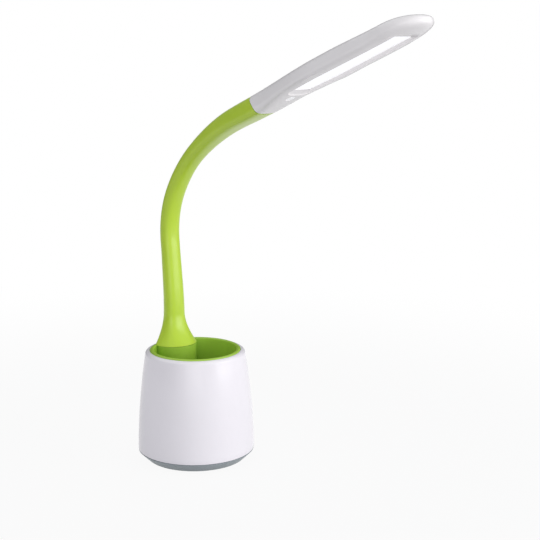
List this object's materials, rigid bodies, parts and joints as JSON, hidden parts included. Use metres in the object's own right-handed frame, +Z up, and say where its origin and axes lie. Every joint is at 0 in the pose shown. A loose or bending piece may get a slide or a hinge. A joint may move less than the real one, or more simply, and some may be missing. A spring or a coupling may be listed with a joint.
{
  "type": "desk lamp",
  "caption": "Desk lamp with a flexible gooseneck in a green sleeve, a slim white light head and a pen cup in its weighted round base.",
  "frame": {"origin": "centre of the base's underside, on the table", "axes": "+Z up, +X towards the side that the head reaches over, +Y to the lamp's left"},
  "size_m": [0.3777, 0.12, 0.453],
  "materials": {
    "gloss_white": "high gloss",
    "cool_grey": "fine satin",
    "black_rubber": "matt",
    "lime_plastic": "satin",
    "lime_silicone": "soft matt",
    "steel": "zinc plated",
    "circuit_board": "solder mask",
    "white_board": "white solder mask",
    "diffuser_white": "opal",
    "black_plastic": "satin",
    "aluminium": "rolled",
    "pale_grey": "satin"
  },
  "bodies": {
    "base": {"outer_shell": "gloss_white", "base_plate": "cool_grey", "base_pad": "black_rubber", "ballast_plate": "steel", "pen_liner": "lime_plastic", "base_screw_1": "steel", "base_screw_2": "steel", "base_screw_3": "steel", "control_board": "circuit_board", "board_screw_1": "steel", "board_screw_2": "steel", "usb_socket": "steel", "power_jack": "black_plastic", "base_lead": "black_plastic", "neck_ferrule": "steel", "ferrule_washer": "steel", "ferrule_nut": "steel", "sleeve_foot": "lime_silicone"},
    "neck_1": {"neck_link_1": "steel", "link_lead_1": "black_plastic", "sleeve_1": "lime_silicone"},
    "neck_2": {"neck_link_2": "steel", "link_lead_2": "black_plastic", "sleeve_2": "lime_silicone"},
    "neck_3": {"neck_link_3": "steel", "link_lead_3": "black_plastic", "sleeve_3": "lime_silicone"},
    "neck_4": {"neck_link_4": "steel", "link_lead_4": "black_plastic", "sleeve_4": "lime_silicone"},
    "neck_5": {"neck_link_5": "steel", "link_lead_5": "black_plastic", "sleeve_5": "lime_silicone"},
    "neck_6": {"neck_link_6": "steel", "link_lead_6": "black_plastic", "sleeve_6": "lime_silicone"},
    "head": {"head_ferrule": "steel", "head_lead": "black_plastic", "sleeve_7": "lime_silicone", "head_cover": "gloss_white", "head_bezel": "gloss_white", "diffuser": "diffuser_white", "led_board": "white_board", "heat_spreader": "aluminium", "led_screw_1": "steel", "led_screw_2": "steel", "touch_pad": "pale_grey", "touch_board": "circuit_board"}
  },
  "joints": [
    {"name": "bend_1", "type": "hinge", "parent": "base", "child": "neck_1", "pos_m": [-0.037, 0, 0.147], "axis": [0, 1, 0], "range_deg": [-12, 12], "deforming": ["sleeve_1"]},
    {"name": "swing_2", "type": "hinge", "parent": "neck_1", "child": "neck_2", "pos_m": [-0.04002, 0, 0.19338], "axis": [-0.9954, 0, -0.0958], "range_deg": [-20, 20], "deforming": ["sleeve_2"]},
    {"name": "bend_3", "type": "hinge", "parent": "neck_2", "child": "neck_3", "pos_m": [-0.04272, 0, 0.23972], "axis": [0, 1, 0], "range_deg": [-20, 14], "deforming": ["sleeve_3"]},
    {"name": "swing_4", "type": "hinge", "parent": "neck_3", "child": "neck_4", "pos_m": [-0.02664, 0, 0.28284], "axis": [-0.8354, 0, 0.5497], "range_deg": [-20, 20], "deforming": ["sleeve_4"]},
    {"name": "bend_5", "type": "hinge", "parent": "neck_4", "child": "neck_5", "pos_m": [0.00455, 0, 0.31706], "axis": [0, 1, 0], "range_deg": [-20, 14], "deforming": ["sleeve_5"]},
    {"name": "swing_6", "type": "hinge", "parent": "neck_5", "child": "neck_6", "pos_m": [0.04336, 0, 0.34258], "axis": [-0.4771, 0, 0.8788], "range_deg": [-20, 20], "deforming": ["sleeve_6"]},
    {"name": "bend_7", "type": "hinge", "parent": "neck_6", "child": "head", "pos_m": [0.08583, 0, 0.36138], "axis": [0, 1, 0], "range_deg": [-20, 16], "deforming": ["sleeve_7"]}
  ]
}
